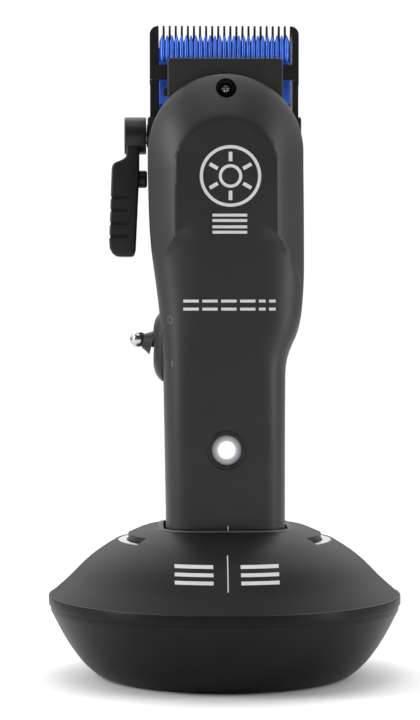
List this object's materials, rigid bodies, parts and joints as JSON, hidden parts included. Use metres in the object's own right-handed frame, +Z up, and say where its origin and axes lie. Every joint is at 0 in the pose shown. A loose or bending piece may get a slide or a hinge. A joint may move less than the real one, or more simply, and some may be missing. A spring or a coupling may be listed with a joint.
{
  "type": "hair clipper",
  "caption": "Cordless hair clipper with taper lever, toggle switch and lit button, standing in a round double-cone charging dock.",
  "frame": {"origin": "centre of the circle on which the dock's rubber feet stand", "axes": "+Z up along the clipper and the dock's axis, -Y towards the front with the lit button, +X to the viewer's right, so the taper lever and the toggle are on -X"},
  "size_m": [0.1084, 0.1084, 0.1997],
  "materials": {
    "body_black": "soft-touch charcoal black coating",
    "dock_black": "satin black moulding",
    "liner_black": "fine textured dark grey moulding",
    "trim_black": "satin black",
    "blade_black": "hard black carbon coating on steel",
    "cutter_blue": "royal blue metallic coating",
    "chrome": "polished",
    "steel": "turned and plated",
    "rubber": "matte",
    "lit_white": "frosted, lit from behind",
    "contact_gold": "gold plated",
    "bronze": "machined",
    "copper": "enamelled windings on steel laminations",
    "magnet": "sintered",
    "board_green": "solder resist",
    "inner_plastic": "plain moulding",
    "nylon_white": "natural nylon",
    "battery_wrap": "shrink wrap"
  },
  "bodies": {
    "dock": {"dock_lower_shell": "dock_black", "dock_rim_band": "dock_black", "dock_upper_shell": "dock_black", "light_windows": "lit_white", "dock_leds": "lit_white", "pocket_liner": "liner_black", "dock_base_plate": "dock_black", "rubber_feet": "rubber", "base_screws": "steel", "ballast_weight": "steel", "dock_circuit_board": "board_green", "contact_block": "liner_black", "contact_springs": "steel", "dock_inlet": "inner_plastic"},
    "contact_pins": {"contact_pins": "contact_gold"},
    "clipper": {"front_housing": "body_black", "rear_housing": "body_black", "rear_screws": "steel", "handle_end_cap": "body_black", "charge_contacts": "contact_gold", "charge_jack": "inner_plastic", "nose_plate": "body_black", "blade_bracket": "blade_black", "front_screw": "chrome", "motor_can": "steel", "motor_end_bell": "inner_plastic", "motor_bearings": "steel", "motor_magnets": "magnet", "motor_mount": "inner_plastic", "motor_screws": "steel", "battery_cell": "battery_wrap", "battery_holder": "inner_plastic", "circuit_board": "board_green", "indicator_led": "lit_white", "tactile_switches": "inner_plastic", "button_bezel": "trim_black", "switch_plate": "trim_black", "switch_bush": "steel", "switch_body": "inner_plastic", "lever_bush": "trim_black"},
    "rotor": {"motor_shaft": "steel", "armature": "copper", "eccentric_cam": "steel", "crank_pin": "steel", "counterweight": "bronze"},
    "cutter": {"cutter_blade": "cutter_blue", "cutter_follower": "nylon_white", "follower_screws": "steel"},
    "taper_blade": {"fixed_blade": "blade_black", "blade_carrier": "blade_black", "blade_screws": "blade_black"},
    "taper_lever": {"taper_lever": "trim_black", "lever_shaft": "steel", "lever_screw": "steel", "detent_post": "trim_black", "detent_spring": "steel"},
    "toggle": {"toggle_bat": "trim_black", "toggle_ball": "chrome"},
    "button": {"button_cap": "trim_black", "button_lens": "lit_white"}
  },
  "joints": [
    {"name": "clipper_lift", "type": "slide", "parent": "dock", "child": "clipper", "axis": [0, 0, 1], "range_m": [0, 0.045]},
    {"name": "contact_press", "type": "slide", "parent": "dock", "child": "contact_pins", "axis": [0, 0, 1], "range_m": [-0.0006, 0], "stiffness_N_per_m": 300, "springref_m": 0.001, "deforming": ["contact_springs"]},
    {"name": "rotor_turn", "type": "hinge", "parent": "clipper", "child": "rotor", "pos_m": [0, 0, 0.15], "axis": [0, 0, 1], "range_deg": [-90, 90]},
    {"name": "cutter_stroke", "type": "slide", "parent": "clipper", "child": "cutter", "axis": [1, 0, 0], "range_m": [-0.00126, 0.00126]},
    {"name": "lever_swing", "type": "hinge", "parent": "clipper", "child": "taper_lever", "pos_m": [-0.024, 0.005, 0.166], "axis": [1, 0, 0], "range_deg": [0, 60.3]},
    {"name": "blade_taper", "type": "slide", "parent": "clipper", "child": "taper_blade", "axis": [0, 0, 1], "range_m": [-0.002, 0]},
    {"name": "toggle_flip", "type": "hinge", "parent": "clipper", "child": "toggle", "pos_m": [-0.0178, 0, 0.1011], "axis": [0, 1, 0], "range_deg": [-27, 0]},
    {"name": "button_press", "type": "slide", "parent": "clipper", "child": "button", "axis": [0, 1, 0], "range_m": [0, 0.0006], "stiffness_N_per_m": 500, "springref_m": -0.0006}
  ],
  "couplings": [
    {"joint": "cutter_stroke", "follows": "rotor_turn", "m_per_rad": 0.00079577},
    {"joint": "lever_swing", "follows": "blade_taper", "rad_per_m": -523.6}
  ]
}
